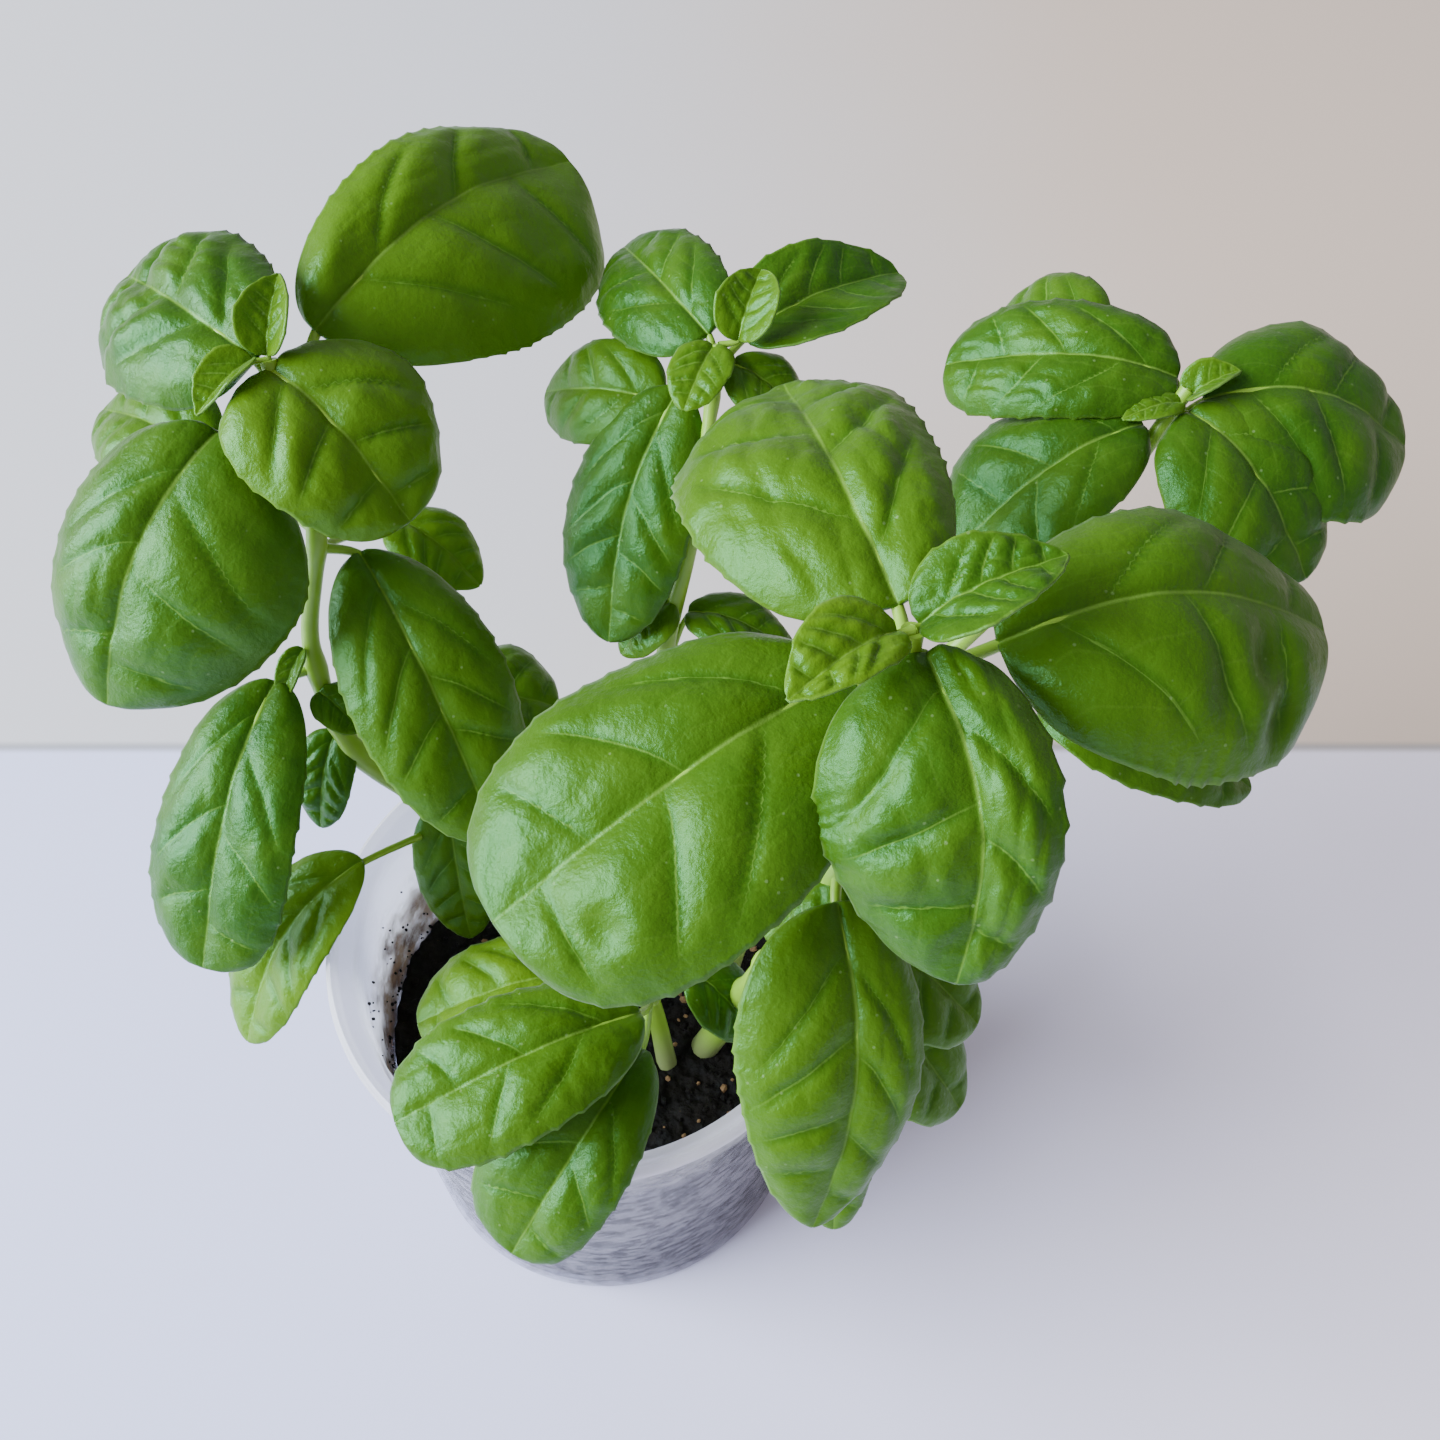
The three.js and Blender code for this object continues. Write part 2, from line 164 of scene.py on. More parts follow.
window = bpy.data.objects.new("window", bpy.data.lights.new("window", "AREA"))
bpy.context.collection.objects.link(window)
window.data.shape = "RECTANGLE"
window.data.size = 2.2
window.data.size_y = 1.7
window.data.energy = 270
window.data.color = (0.80, 0.93, 1.0)
window.location = WINDOW_PLACE
window.rotation_euler = (WINDOW_FACES - WINDOW_PLACE).to_track_quat("-Z", "Y").to_euler()

sky = bpy.data.worlds.new("walls")
sky.use_nodes = True
walls = sky.node_tree.nodes["Background"]
walls.inputs["Color"].default_value = (1.0, 0.97, 0.97, 1)
walls.inputs["Strength"].default_value = 0.46
bpy.context.scene.world = sky


# ---- Tub ----
# A thin tub pressed from clear plastic. Its wall leans out a little, and its mouth turns out into a flat
# shelf with a rounded lip, which the lid would snap over. It is hazy with fine scratches and damp, and wet
# earth has stained it at the left.

# From here on sizes are in millimetres, apart from those on a material's own coordinates.
MM = 0.001
# The wall's section as radius and height: under the base, up the outside, over the lip and down inside.
TUB_PROFILE = [
    (33.0, 0.8), (35.0, 0.0), (38.8, 0.0), (40.0, 1.2), (41.6, 38.0), (43.2, 74.2), (43.6, 75.4),
    (46.4, 76.6), (47.3, 77.2), (47.5, 78.6), (47.2, 79.6), (46.5, 80.0), (45.9, 79.6), (45.6, 78.6),
    (45.1, 78.0), (43.4, 77.6), (42.8, 76.9), (42.5, 75.6), (41.0, 38.0), (39.3, 2.2), (38.4, 1.2),
    (34.0, 1.2), (32.4, 1.6),
]
TUB_FACETS = 144
TUB_SHELF = 77.5
SOIL_TOP = 45.0
STAIN_ANGLE = 3.05  # radians round from the right, either way
STAIN_DARK = (0.46, 0.27, 0.16)
STAIN_BLACK = (0.17, 0.075, 0.035)
FILM_DARK = (0.34, 0.315, 0.33)
FILM_PALE = (0.95, 0.90, 0.92)

bpy.ops.mesh.primitive_circle_add(vertices=TUB_FACETS, radius=TUB_PROFILE[0][0] * MM, fill_type="NGON",
                                  location=(0, 0, 0))
tub = bpy.context.object
tub.name = "tub_wall"
bpy.ops.object.mode_set(mode="EDIT")
bpy.ops.mesh.select_mode(type="EDGE")
bpy.ops.mesh.select_all(action="SELECT")
bpy.ops.transform.translate(value=(0, 0, TUB_PROFILE[0][1] * MM))
for (radius, height), (wider, higher) in zip(TUB_PROFILE, TUB_PROFILE[1:]):
    bpy.ops.mesh.extrude_edges_move(TRANSFORM_OT_translate={"value": (0, 0, (higher - height) * MM)})
    bpy.ops.transform.resize(value=(wider / radius, wider / radius, 1), center_override=(0, 0, 0))
bpy.ops.mesh.edge_face_add()
bpy.ops.mesh.select_all(action="SELECT")
bpy.ops.mesh.remove_doubles(threshold=1e-6)
bpy.ops.mesh.normals_make_consistent(inside=False)
bpy.ops.object.mode_set(mode="OBJECT")
bpy.ops.object.shade_smooth_by_angle(angle=math.radians(50))

plastic, surface = new_material("clear_plastic")
place = surface.node("ShaderNodeTexCoord", output=3)
axes = {name: surface.node("ShaderNodeSeparateXYZ", inputs={0: place}, output=index)
        for index, name in enumerate("xyz")}
around = surface.math("ARCTAN2", axes["y"], axes["x"])
height = axes["z"]
smears = surface.node("ShaderNodeMapping", inputs={"Vector": place, "Scale": (60, 60, 260)})
smears = surface.node("ShaderNodeTexNoise", inputs={"Vector": smears, "Scale": 1.0, "Detail": 5.0})
damp = surface.node("ShaderNodeTexNoise", inputs={"Vector": place, "Scale": 130.0, "Detail": 6.0})
grit = surface.node("ShaderNodeMapping", inputs={"Vector": place, "Scale": (300, 300, 520)})
grit = surface.node("ShaderNodeTexNoise", inputs={"Vector": grit, "Scale": 1.0, "Detail": 5.0})
blots = surface.node("ShaderNodeTexNoise", inputs={"Vector": place, "Scale": 95.0, "Detail": 7.0,
                                                 "Roughness": 0.7})
from_left = surface.math("ABSOLUTE", surface.math("ABSOLUTE", around) - STAIN_ANGLE)
at_left = from_left.between(0.70, 0.35)
soil_line = SOIL_TOP * MM
shelf = TUB_SHELF * MM
low_down = height.between(shelf + 0.0005, soil_line + 0.005)
stain = (1.2 * blots + 0.5 * low_down).between(0.78, 1.18) * at_left
stain = stain * height.between(soil_line - 0.008, soil_line)
rust = damp.between(0.36, 0.62).colours(STAIN_DARK, STAIN_BLACK)
facing = surface.node("ShaderNodeLayerWeight", inputs={"Blend": 0.35}, output=1)
in_front = axes["y"].between(0.010, -0.040)
dry = height - 0.017 * in_front + 0.02 * (damp - 0.5)
dry = dry.between(soil_line - 0.007, soil_line + 0.009)
filled = 0.15 + 0.08 * smears.between(0.35, 0.7) + 0.36 * grit.between(0.38, 0.64)
at_mouth = height.between(shelf - 0.003, shelf)
empty = 0.28 + 0.10 * smears.between(0.4, 0.7) + 0.34 * facing + 0.22 * at_mouth
haze = dry * empty + (1 - dry) * filled
body = surface.math("MINIMUM", haze + 0.7 * stain, 0.97)
plain = surface.node("ShaderNodeBsdfTransparent", inputs={"Color": (0.97, 0.975, 0.99, 1)})
tint = stain.colours(dry.colours(FILM_DARK, FILM_PALE), rust)
skin = surface.node("ShaderNodeBsdfPrincipled", inputs={
    "Base Color": tint, "Roughness": 0.22, "Specular IOR Level": 0.5})
glow = surface.node("ShaderNodeBsdfTranslucent", inputs={"Color": (0.93, 0.90, 0.93, 1)})
glowing = 0.45 * dry * (1 - 0.9 * stain)
skin = surface.node("ShaderNodeMixShader", inputs={0: glowing, 1: skin, 2: glow})
show(surface, surface.node("ShaderNodeMixShader", inputs={0: body, 1: plain, 2: skin}))
tub.data.materials.append(plastic)
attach(tub, "root")
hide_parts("tub")


# ---- Soil ----
# Wet black potting soil, filled to a little over half of the tub. Its top is loose and lumpy, and its
# side is pressed flat against the plastic.

SOIL_FOOT = 1.7
SOIL_FOOT_RADIUS = 38.2
SOIL_TOP_RADIUS = 40.8
SOIL_FACETS = 120
SOIL_SIDE_RINGS = 14
SOIL_TOP_RINGS = 28
SOIL_CENTRE = 0.3  # the radius of the flat spot at the centre of the top, in widths of its rings
SOIL_EDGE = 0.9  # where the top starts to rise to the wall, as a share of its radius
SIDE_DENTS = 0.006  # how deep the side is dented, as a share of its radius
NEARLY = 0.01
WET_BLACK = (0.0025, 0.002, 0.002)
DAMP_BROWN = (0.010, 0.007, 0.005)
FLECK_BROWN = (0.07, 0.04, 0.02)
BARK_BROWN = (0.16, 0.08, 0.03)
BARK_TAN = (0.36, 0.22, 0.11)


def ripple(x, y, z, size, octaves=3):
    """Soft noise between about -1 and 1, with lumps of the given size in millimetres."""
    return noise.fractal(Vector((x, y, z)) / size, 0.8, 2.0, octaves)


def soil_height(x, y):
    """How high the soil's lumpy top stands at x and y."""
    lumps = 1.2 * ripple(x, y, 0, 9) + 0.9 * ripple(x, y, 5, 2.6, 4)
    edge = max(0.0, math.hypot(x, y) / SOIL_TOP_RADIUS - SOIL_EDGE) * 10
    return SOIL_TOP + lumps + 1.6 * edge * (0.5 + ripple(x, y, 9, 7))


bpy.ops.mesh.primitive_circle_add(vertices=SOIL_FACETS, radius=SOIL_FOOT_RADIUS * MM, fill_type="NGON",
                                  location=(0, 0, 0))
soil = bpy.context.object
soil.name = "soil_block"
bpy.ops.object.mode_set(mode="EDIT")
bpy.ops.mesh.select_mode(type="EDGE")
bpy.ops.mesh.select_all(action="SELECT")
bpy.ops.transform.translate(value=(0, 0, SOIL_FOOT * MM))
side_step = (SOIL_TOP - SOIL_FOOT) / SOIL_SIDE_RINGS
widening = (SOIL_TOP_RADIUS / SOIL_FOOT_RADIUS - 1) / SOIL_SIDE_RINGS
for ring in range(SOIL_SIDE_RINGS):
    grown = (1 + widening * (ring + 1)) / (1 + widening * ring)
    bpy.ops.mesh.extrude_edges_move(TRANSFORM_OT_translate={"value": (0, 0, side_step * MM)})
    bpy.ops.transform.resize(value=(grown, grown, 1), center_override=(0, 0, 0))
for ring in range(SOIL_TOP_RINGS, 0, -1):
    bpy.ops.mesh.extrude_edges_move()
    shrunk = (ring - 1 + SOIL_CENTRE) / (ring + SOIL_CENTRE)
    bpy.ops.transform.resize(value=(shrunk, shrunk, 1), center_override=(0, 0, 0))
bpy.ops.mesh.edge_face_add()
bpy.ops.mesh.poke()
bpy.ops.mesh.select_all(action="SELECT")
bpy.ops.mesh.normals_make_consistent(inside=False)
bpy.ops.object.mode_set(mode="OBJECT")
refine = soil.modifiers.new("finer", "SUBSURF")
refine.subdivision_type = "SIMPLE"
refine.levels = refine.render_levels = 2
bpy.ops.object.modifier_apply(modifier="finer")
for vertex in soil.data.vertices:
    x, y, z = (value / MM for value in vertex.co)
    if z > SOIL_TOP - NEARLY:
        z = soil_height(x, y)
    elif z > SOIL_FOOT + NEARLY:
        pull = 1 - SIDE_DENTS * (0.5 + ripple(x, y, z, 3))
        x, y = x * pull, y * pull
    vertex.co = (x * MM, y * MM, z * MM)
bpy.ops.object.shade_smooth()

earth, surface = new_material("wet_soil")
place = surface.node("ShaderNodeTexCoord", output=3)
fine = surface.node("ShaderNodeTexNoise", inputs={"Vector": place, "Scale": 900.0, "Detail": 8.0})
coarse = surface.node("ShaderNodeTexNoise", inputs={"Vector": place, "Scale": 160.0, "Detail": 6.0})
flecks = surface.node("ShaderNodeTexVoronoi", inputs={"Vector": place, "Scale": 420.0})
tint = coarse.between(0.3, 0.75).colours(WET_BLACK, DAMP_BROWN)
tint = flecks.between(0.08, 0.02).colours(tint, FLECK_BROWN)
bark = surface.node("ShaderNodeAttribute", {"attribute_name": "bark"}, output=2)
tint = bark.colours(tint, coarse.colours(BARK_BROWN, BARK_TAN))
bump = surface.node("ShaderNodeBump", inputs={"Strength": 0.8, "Distance": 0.0008, "Height": fine})
show(surface, surface.node("ShaderNodeBsdfPrincipled", inputs={
    "Base Color": tint, "Roughness": coarse.between(0.2, 0.8) * 0.3 + 0.6, "Normal": bump,
    "Specular IOR Level": 0.2}))
soil.data.materials.append(earth)
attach(soil, "root")
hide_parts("soil")


# ---- Crumbs ----
# Loose black crumbs and a few tan bits of bark lie on the soil. Some black ones stick to the inside of
# the tub's wall, most of them at its left.

LYING_CRUMBS = 420
BARK_BITS = 68  # of the lying ones
STUCK_CRUMBS = 140
STUCK_SPREAD = 0.75  # radians to either side of the tub's left
STUCK_REACH = 24
WALL_LEAN = 0.04


def wall_inside(z):
    """The tub's inner radius at the height z."""
    radius, level = TUB_PROFILE[-5]
    return radius + (z - level) * WALL_LEAN


def mark(mesh, name, values):
    """Gives each vertex of the mesh a number that its material reads by this name."""
    mesh.attributes.new(name, "FLOAT", "POINT").data.foreach_set("value", np.asarray(values, np.float32))


def joined(parts, name):
    """Turns the parts into one mesh object of that name, whose own origin is the tub's."""
    bpy.ops.object.select_all(action="DESELECT")
    for part in parts:
        part.select_set(True)
    bpy.context.view_layer.objects.active = parts[0]
    bpy.ops.object.convert(target="MESH")
    bpy.ops.object.transform_apply(location=True, rotation=True, scale=True)
    bpy.ops.object.join()
    whole = bpy.context.object
    whole.name = name
    return whole


bpy.ops.mesh.primitive_ico_sphere_add(subdivisions=1, radius=MM, location=(0, 0, 0))
pattern = bpy.context.object
bpy.ops.object.shade_flat()
draw = random.Random(4)
crumbs = []
for number in range(LYING_CRUMBS + STUCK_CRUMBS):
    crumb = pattern.copy()
    crumb.data = pattern.data.copy()
    bpy.context.collection.objects.link(crumb)
    bark_bit = number < BARK_BITS
    if number < LYING_CRUMBS:
        angle = draw.uniform(0, math.tau)
        out = 0.95 * SOIL_TOP_RADIUS * draw.random() ** 0.5
        size = draw.uniform(0.4, 1.2) if bark_bit else draw.uniform(0.4, 1.3)
        z = soil_height(out * math.cos(angle), out * math.sin(angle)) + 0.15 * size
    else:
        angle = draw.gauss(math.pi, STUCK_SPREAD)
        size = draw.uniform(0.2, 0.5)
        z = SOIL_TOP + 1 + STUCK_REACH * draw.random() ** 2.6
        out = wall_inside(z) - 0.75 * size
    crumb.location = (out * math.cos(angle) * MM, out * math.sin(angle) * MM, z * MM)
    crumb.scale = [size * draw.uniform(0.45, 1) for _ in range(3)]
    crumb.rotation_euler = [draw.uniform(0, math.tau) for _ in range(3)]
    mark(crumb.data, "bark", np.full(len(crumb.data.vertices), bark_bit))
    crumbs.append(crumb)
bpy.data.objects.remove(pattern)
crumbs = joined(crumbs, "soil_crumbs")
crumbs.data.materials.clear()
crumbs.data.materials.append(earth)
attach(crumbs, "root")
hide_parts("soil")


# ---- Stalks ----
# Square, juicy green stems with a swollen joint at each pair of leaves. Each leaf's stalk grows out of a
# joint and runs on as a rib along the underside of its blade. All of a stem is one growth, rooted in soil.

# A leaf: how far up its stem it grows, where its blade starts and ends, its width, how far its midrib
# arches up, its roll in degrees, how far it bows to the right, how much wider its right half is, how
# much its edges turn down, its outline, how deep its side veins and how deep its small veins are sunk,
# and its colour from yellow-green (-1) to deep green (1), which on single leaves is also set lighter or
# darker as painted light and shade. Lengths are in millimetres.
Leaf = namedtuple("Leaf", "up base tip width arch roll bow lop camber outline sunk quilt tone")
# A stem: the path of its middle from the soil up, its radius at the foot and at the tip, and its leaves.
STEMS = {
    "left": (
        [(-4, 10, 40), (-12, 17, 60), (-27, 23, 82), (-42, 25, 99), (-48, 34, 117), (-44, 43, 140),
         (-48, 54, 165)], (2.5, 1.1), [
            Leaf(0.97, (-50, 54, 165), (-79, 83, 160), 33, 5, 25, 0, -0.04, 0.5, "disc", 1.6, 0.7, 0.8),
            Leaf(0.97, (-48, 53, 164), (-26, 36, 147), 34, 5, -5, 0, -0.05, 0.45, "broad", 1.3, 0.5, -0.1),
            Leaf(1.0, (-48, 54, 166), (-46, 64, 174), 9, 1, 0, 0, 0, -0.5, "spear", 1.2, 1.0, -0.2),
            Leaf(1.0, (-50, 53, 166), (-58, 44, 162), 8, 1, 0, 0, 0, -0.4, "spear", 1.2, 1.0, -0.2),
            Leaf(0.9, (-56, 45, 158), (-76, 14, 127), 40, 7, 20, 2, -0.26, 0.6, "round", 1.0, 0.3, 0.5),
            Leaf(0.9, (-44, 68, 160), (-5, 122, 158), 43, 6, -32, -4, 0.3, 0.45, "blunt", 1.0, 0.3, -0.1),
            Leaf(0.8, (-67, 63, 137), (-92, 81, 132), 22, 4, 20, 0, 0, 0.4, "round", 0.8, 0.3, 0.2),
            Leaf(0.62, (-54, 29, 115), (-67, -10, 83), 27, 6, 0, 0, 0, 0.4, "blunt", 0.9, 0.3, 1.0),
            Leaf(0.78, (-38, 43, 133), (-15, 7, 98), 28, 6, 0, 0, 0, 0.45, "oval", 0.9, 0.3, 0.3),
            Leaf(0.62, (-49, 33, 119), (-53, 26, 112), 5, 1, 0, 0, 0, -0.2, "spear", 1.0, 0.8, -0.2),
            Leaf(0.55, (-47, 29, 112), (-40, 24, 107), 9, 1, 0, 0, 0, 0.2, "egg", 1.0, 0.8, 0.3),
            Leaf(0.5, (-46, 28, 102), (-50, 17, 87), 12, 2, 0, 0, 0, 0.3, "egg", 1.0, 0.4, 0.6),
            Leaf(0.78, (-36, 60, 124), (-20, 50, 117), 15, 3, 0, 0, 0, 0.4, "egg", 1.0, 0.4, -0.7),
            Leaf(0.5, (-26, 35, 103), (-6, 33, 102), 25, 3, 0, 0, 0, 0.4, "round", 1.0, 0.4, -0.1),
            Leaf(0.33, (-41, 9, 88), (-63, -15, 64), 20, 4, 0, 3, 0, 0.3, "oval", 0.9, 0.3, -1.0),
            Leaf(0.4, (-27, 22, 88), (-25, 9, 60), 16, 3, 0, 0, 0, 0.4, "egg", 0.9, 0.3, 0.2),
        ]),
    "front": (
        [(20, -6, 40), (28, -12, 75), (35, -18, 108), (42, -19, 132), (47, -15, 158), (48, -14, 177)],
        (2.8, 1.2), [
            Leaf(0.97, (47, -7, 174), (34, 45, 167), 37, 8, 10, -1, -0.17, 0.5, "disc", 1.2, 1.0, 0.2),
            Leaf(0.93, (41, -10, 163), (-5, -40, 150), 42, 6, 12, 0, -0.07, 0.45, "blunt", 1.1, 0.3, 0.4),
            Leaf(0.97, (50, -15, 174), (54, -47, 147), 31, 7, -14, -5, 0.35, 0.45, "round", 1.4, 0.8, 0.6),
            Leaf(0.93, (60, -10, 170), (108, 0, 161), 38, 8, -20, -3, 0.25, 0.6, "disc", 0.9, 0.3, 0.3),
            Leaf(1.0, (49, -13, 177), (67, -8, 184), 15, 2, 0, 0, 0.1, -0.1, "spear", 1.7, 1.0, 0.7),
            Leaf(1.0, (46, -15, 178), (32, -27, 179), 12, 2, 5, 0, 0.2, 0.1, "spear", 1.7, 1.0, -0.5),
            Leaf(0.6, (42, -18, 128), (31, -24, 118), 17, 2, 0, 0, 0, 0.4, "egg", 1.0, 0.5, 0.2),
            Leaf(0.66, (41, -25, 130), (38, -59, 92), 28, 5, 14, -3.5, 0.27, 0.4, "egg", 0.9, 0.3, 0.1),
            Leaf(0.4, (43, -24, 98), (43, -51, 68), 14, 4, 0, 0, 0, 0.4, "round", 0.9, 0.3, 0.1),
            Leaf(0.5, (46, -19, 110), (65, -29, 99), 21, 3, 0, 0, 0, 0.4, "round", 0.9, 0.3, 0.0),
            Leaf(0.4, (46, -22, 98), (64, -35, 80), 21, 3, 0, 0, 0, 0.4, "round", 0.9, 0.3, 0.0),
            Leaf(0.28, (19, -10, 82), (30, -17, 70), 13, 2, 0, 0, 0, 0.35, "egg", 1.0, 0.4, 0.5),
        ]),
    "back": (
        [(8, 14, 40), (11, 32, 80), (14, 45, 106), (19, 52, 128), (24, 68, 157)], (2.6, 1.0), [
            Leaf(0.97, (22, 71, 157), (6, 105, 151), 23, 4, 28, 0, -0.08, 0.4, "round", 1.0, 0.5, 1.2),
            Leaf(0.97, (28, 73, 155), (56, 90, 156), 21, 3, -10, 0, 0.1, -0.1, "egg", 0.9, 0.4, 0.8),
            Leaf(1.0, (27, 68, 158), (31, 78, 165), 11, 1, 0, 0, 0.1, -0.3, "egg", 1.2, 0.8, 0.0),
            Leaf(1.0, (23, 68, 157), (18, 56, 153), 11, 1, 0, 0, 0, 0.2, "egg", 1.2, 0.8, 0.0),
            Leaf(0.93, (26, 67, 154), (38, 60, 147), 15, 2, 0, 0, 0, 0.4, "egg", 0.9, 0.3, 0.2),
            Leaf(0.85, (17, 68, 148), (4, 39, 114), 24, 4, 0, 2, 0, 0.45, "oval", 0.9, 0.3, 1.1),
            Leaf(0.85, (14, 68, 145), (-8, 80, 137), 20, 4, 35, 0, 0, 0.4, "round", 0.9, 0.3, 0.2),
            Leaf(0.5, (15, 48, 115), (6, 41, 108), 12, 2, 0, 0, 0, 0.4, "egg", 1.0, 0.4, 0.0),
            Leaf(0.5, (18, 48, 112), (38, 42, 107), 14, 3, 0, 0, 0, 0.4, "egg", 1.0, 0.4, 0.3),
        ]),
    "right": (
        [(24, 8, 40), (30, 13, 66), (38, 19, 87), (60, 31, 113), (86, 44, 139), (100, 54, 159)],
        (2.5, 1.0), [
            Leaf(0.9, (88, 68, 158), (74, 85, 150), 20, 4, 30, 0, 0, 0.4, "round", 0.9, 0.3, 0.4),
            Leaf(0.97, (99, 57, 159), (63, 69, 152), 22, 6, 25, 0, 0, 0.4, "disc", 1.0, 0.8, 0.7),
            Leaf(0.93, (103, 54, 157), (139, 53, 148), 36, 6, -17, -2, 0.15, 0.5, "disc", 0.9, 0.4, 0.8),
            Leaf(0.97, (100, 51, 157), (118, 28, 142), 30, 5, -5, 0, 0, 0.5, "round", 0.9, 0.5, 0.7),
            Leaf(0.93, (93, 50, 155), (64, 39, 138), 28, 5, 5, 0, 0.1, 0.45, "blunt", 0.8, 0.3, 1.0),
            Leaf(1.0, (100, 53, 158), (108, 55, 162), 7, 1, 0, 0, 0, -0.4, "spear", 1.2, 0.8, 0.0),
            Leaf(1.0, (99, 52, 158), (89, 49, 157), 6, 1, 0, 0, 0, 0.3, "spear", 1.2, 0.8, 0.0),
            Leaf(0.5, (82, 34, 106), (122, 22, 92), 28, 5, 0, 0, 0, 0.4, "egg", 0.9, 0.3, 0.3),
        ]),
    "low": (
        [(14, -11, 40), (12, -8, 60), (11, -10, 76)], (2.1, 1.2), [
            Leaf(0.9, (11, -26, 97), (-27, -43, 93), 24, 5, 10, 0, -0.05, 0.4, "blunt", 1.0, 0.6, 0.3),
            Leaf(0.9, (11, -27, 86), (-10, -56, 71), 24, 8, 15, 0, 0.15, 0.4, "blunt", 1.0, 0.5, 0.4),
            Leaf(0.8, (-3, -7, 75), (-31, -14, 69), 22, 3, 0, 0, 0, 0.35, "round", 1.0, 0.4, -0.7),
        ]),
}
CAD_NODE = {"left": "stem_left", "front": "stem_front", "back": "stem_back", "right": "stem_right",
            "low": "shoot_low"}
# How quickly a blade widens from its base and narrows to its tip, as powers of the way to each.
OUTLINES = {"round": (0.33, 0.42), "broad": (0.23, 0.38), "disc": (0.32, 0.28), "blunt": (0.42, 0.30),
            "egg": (0.38, 0.58), "oval": (0.5, 0.5), "spear": (0.45, 0.8)}
BLADE_TIP = 0.3
BLADE_THICKNESS = 0.4
ARCH_LEAN = 0.8  # under 1, the arch is highest before the middle of the blade
SQUARENESS = 1.45  # how much longer the handles of the stem's section are than a circle's
JOINT_SWELL = 0.28
MOST_SWELL = 0.3
JOINT_LENGTH = 0.018  # as a share of the stem
LEAST_PETIOLE = 0.42  # the radius of a leaf's stalk, which grows with its blade's width
PETIOLE_GROWTH = 0.017
RIB_END = 0.88  # how far along the blade its rib runs
STALK_GREEN = (0.20, 0.38, 0.02)
STALK_LIGHT = (0.30, 0.50, 0.05)
STALK_FOOT = (0.32, 0.38, 0.14)


def smooth_path(points, steps=24):
    """A function from 0 to 1 along an even, smooth curve through the points."""
    points = [np.array(point, float) for point in points]
    run = [2 * points[0] - points[1], *points, 2 * points[-1] - points[-2]]
    dense = []
    for a, b, c, d in zip(run, run[1:], run[2:], run[3:]):
        before, here, after = (np.linalg.norm(q - p) ** 0.5 for p, q in ((a, b), (b, c), (c, d)))
        leave = here * ((b - a) / before - (c - a) / (before + here) + (c - b) / here)
        arrive = here * ((c - b) / here - (d - b) / (here + after) + (d - c) / after)
        for u in np.linspace(0, 1, steps, endpoint=False):
            dense.append((2 * u**3 - 3 * u**2 + 1) * b + (u**3 - 2 * u**2 + u) * leave
                         + (3 * u**2 - 2 * u**3) * c + (u**3 - u**2) * arrive)
    dense = np.array([*dense, points[-1]])
    length = np.concatenate([[0], np.cumsum(np.linalg.norm(np.diff(dense, axis=0), axis=1))])
    return lambda part: np.array([np.interp(part, length / length[-1], dense[:, k]) for k in range(3)])


def unit(vector):
    """The vector, or each of the vectors, at length 1."""
    return vector / np.linalg.norm(vector, axis=-1, keepdims=True)


class Blade:
    """The middle surface of a leaf's blade, without its veins. On it t runs from 0 at the base to 1 at the
    tip, and q from -1 at the left margin to 1 at the right one."""

    def __init__(self, leaf):
        self.leaf = leaf
        self.base = np.array(leaf.base, float)
        chord = np.array(leaf.tip, float) - self.base
        self.length = np.linalg.norm(chord)
        self.along = chord / self.length
        level = unit(np.cross(self.along, (0, 0, 1)))
        turn = math.radians(leaf.roll)
        self.right = level * math.cos(turn) + np.cross(level, self.along) * math.sin(turn)
        self.up = np.cross(self.right, self.along)
        self.rise, self.fall = OUTLINES[leaf.outline]
        widest = self.rise / (self.rise + self.fall)
        self.fullest = widest**self.rise * (1 - widest)**self.fall

    def midrib(self, t):
        """The points of the blade's middle line at t."""
        t = np.asarray(t, float)[..., None]
        return (self.base + self.along * self.length * t
                + self.up * self.leaf.arch * np.sin(np.pi * t**ARCH_LEAN)
                + self.right * self.leaf.bow * np.sin(np.pi * t))

    def half(self, t):
        """Half of the blade's width at t."""
        shape = t**self.rise * (1 - t)**self.fall / self.fullest
        return np.maximum(self.leaf.width / 2 * shape, BLADE_TIP)

    def directions(self, t):
        """The blade's own across and up at t."""
        ahead = unit(self.midrib(np.minimum(t + 0.01, 1)) - self.midrib(np.maximum(t - 0.01, 0)))
        normal = unit(np.cross(self.right, ahead))
        return np.cross(ahead, normal), normal


def add_spline(curve, points, radii):
    """Adds a bar through the points to a bar object's curve."""
    spline = curve.splines.new("POLY")
    spline.points.add(len(points) - 1)
    for knot, point, radius in zip(spline.points, points, radii):
        knot.co = (*(point * MM), 1)
        knot.radius = radius
    spline.use_smooth = True


def bar_object(name):
    """An empty curve object whose splines become bars, with their radii in millimetres."""
    curve = bpy.data.curves.new(name, "CURVE")
    curve.dimensions = "3D"
    curve.bevel_depth = MM
    curve.bevel_resolution = 2
    curve.use_fill_caps = True
    bar = bpy.data.objects.new(name, curve)
    bpy.context.collection.objects.link(bar)
    return bar


